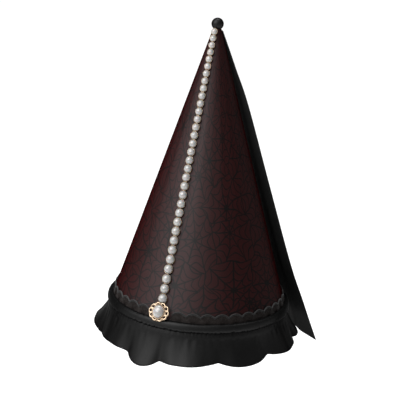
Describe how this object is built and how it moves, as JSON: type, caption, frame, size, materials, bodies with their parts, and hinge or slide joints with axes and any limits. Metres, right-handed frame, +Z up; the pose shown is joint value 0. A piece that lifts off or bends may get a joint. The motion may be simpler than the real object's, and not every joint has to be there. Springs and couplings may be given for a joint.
{
  "type": "hennin cone hat",
  "caption": "Tall hollow cone hat with a padded roll, scalloped lace and a gathered ruffle at the rim, a pearl row down the front to a brooch, a tip ball and a veil behind.",
  "frame": {"origin": "middle of the crown's rim circle, where the wearer's head goes in", "axes": "+Z up as worn, -Y toward the front with the pearls and the brooch, +X toward the wearer's left; the cone leans back toward +Y"},
  "size_m": [0.2146, 0.2262, 0.3576],
  "materials": {
    "red_satin": "satin with a printed black cobweb",
    "black_satin": "satin",
    "black_lace": "matte lace",
    "black_veil": "soft crepe",
    "gilt": "worn gilt",
    "pearl": "pearlescent"
  },
  "bodies": {
    "root": {"crown": "red_satin", "tip_ball": "black_satin", "padded_roll": "black_satin", "lace_trim": "black_lace", "ruffle": "black_satin", "veil": "black_veil", "pearl_chain": "gilt", "pearl_01": "pearl", "pearl_02": "pearl", "pearl_03": "pearl", "pearl_04": "pearl", "pearl_05": "pearl", "pearl_06": "pearl", "pearl_07": "pearl", "pearl_08": "pearl", "pearl_09": "pearl", "pearl_10": "pearl", "pearl_11": "pearl", "pearl_12": "pearl", "pearl_13": "pearl", "pearl_14": "pearl", "pearl_15": "pearl", "pearl_16": "pearl", "pearl_17": "pearl", "pearl_18": "pearl", "pearl_19": "pearl", "pearl_20": "pearl", "pearl_21": "pearl", "pearl_22": "pearl", "pearl_23": "pearl", "pearl_24": "pearl", "pearl_25": "pearl", "pearl_26": "pearl", "pearl_27": "pearl", "pearl_28": "pearl", "pearl_29": "pearl", "pearl_30": "pearl", "pearl_31": "pearl", "pearl_32": "pearl", "pearl_33": "pearl", "brooch_setting": "gilt", "brooch_pearl": "pearl"}
  },
  "joints": []
}
